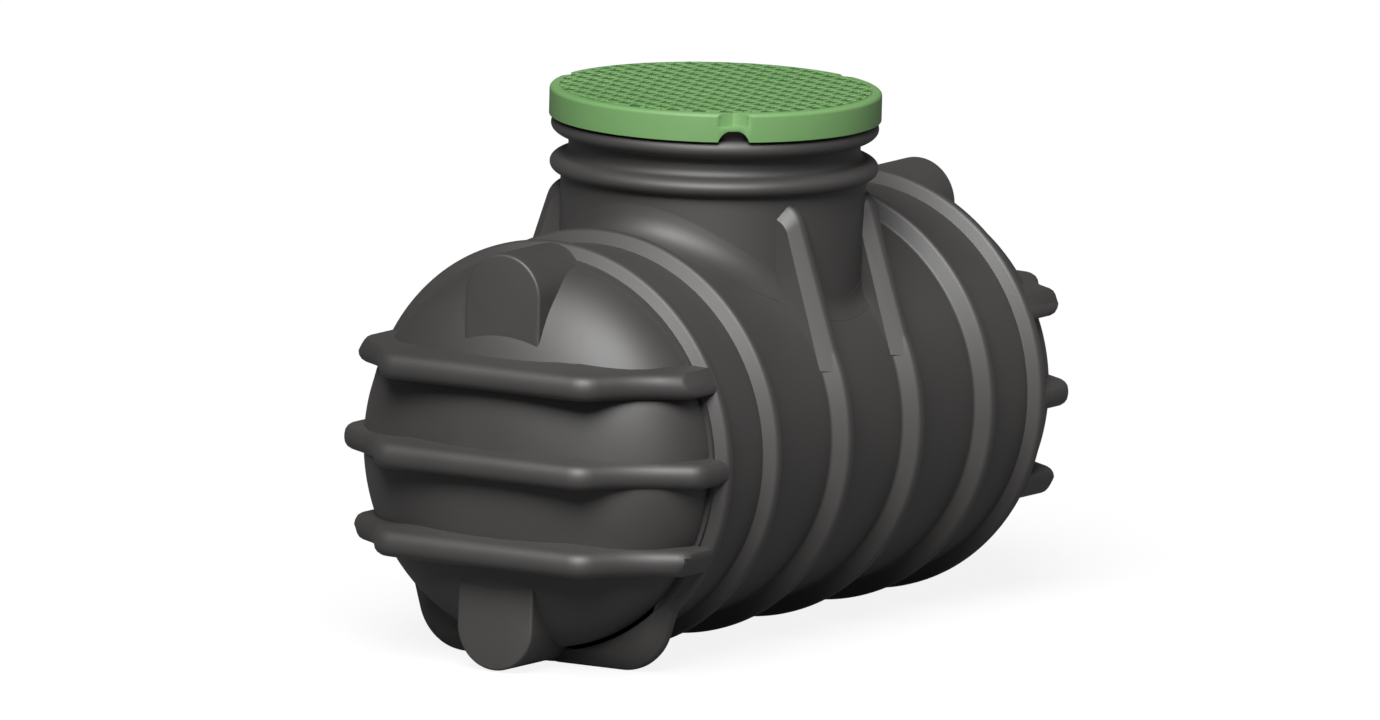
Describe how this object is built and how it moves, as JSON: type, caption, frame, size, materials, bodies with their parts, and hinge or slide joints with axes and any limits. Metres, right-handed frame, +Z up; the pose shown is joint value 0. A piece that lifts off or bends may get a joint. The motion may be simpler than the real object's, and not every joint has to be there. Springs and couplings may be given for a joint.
{
  "type": "horizontal septic tank",
  "caption": "Ribbed horizontal plastic septic tank with domed ends, a round access neck and a lift-off green cover.",
  "frame": {"origin": "on the floor under the middle of the barrel, midway between the two ends", "axes": "+X along the barrel from the end with the foot to the far end, +Y across it, +Z up through the neck"},
  "size_m": [1.882, 0.9, 1.1515],
  "materials": {
    "black_plastic": "smooth moulded, half gloss",
    "green_plastic": "moulded, half gloss"
  },
  "bodies": {
    "tank": {"dome_near": "black_plastic", "dome_far": "black_plastic", "block_near_top": "black_plastic", "block_near_bottom": "black_plastic", "block_far_top": "black_plastic", "block_far_bottom": "black_plastic", "bar_near_high": "black_plastic", "bar_near_mid": "black_plastic", "bar_near_low": "black_plastic", "bar_far_high": "black_plastic", "bar_far_mid": "black_plastic", "bar_far_low": "black_plastic", "barrel_bay_1": "black_plastic", "barrel_bay_2": "black_plastic", "barrel_bay_3": "black_plastic", "barrel_bay_4": "black_plastic", "barrel_bay_5": "black_plastic", "rib_1": "black_plastic", "rib_2": "black_plastic", "rib_3": "black_plastic", "rib_4": "black_plastic", "rib_5": "black_plastic", "rib_6": "black_plastic", "foot_left": "black_plastic", "foot_right": "black_plastic", "saddle_near": "black_plastic", "saddle_far": "black_plastic", "saddle_left": "black_plastic", "saddle_right": "black_plastic", "gusset_left_near": "black_plastic", "gusset_left_far": "black_plastic", "gusset_right_near": "black_plastic", "gusset_right_far": "black_plastic", "neck_tube": "black_plastic", "collar_ring": "black_plastic", "neck_groove": "black_plastic", "neck_rim": "black_plastic"},
    "cover": {"cover_plate": "green_plastic", "cover_skirt": "green_plastic"}
  },
  "joints": [
    {"name": "cover_lift", "type": "slide", "parent": "tank", "child": "cover", "axis": [0, 0, 1], "range_m": [0, 0.3]}
  ]
}
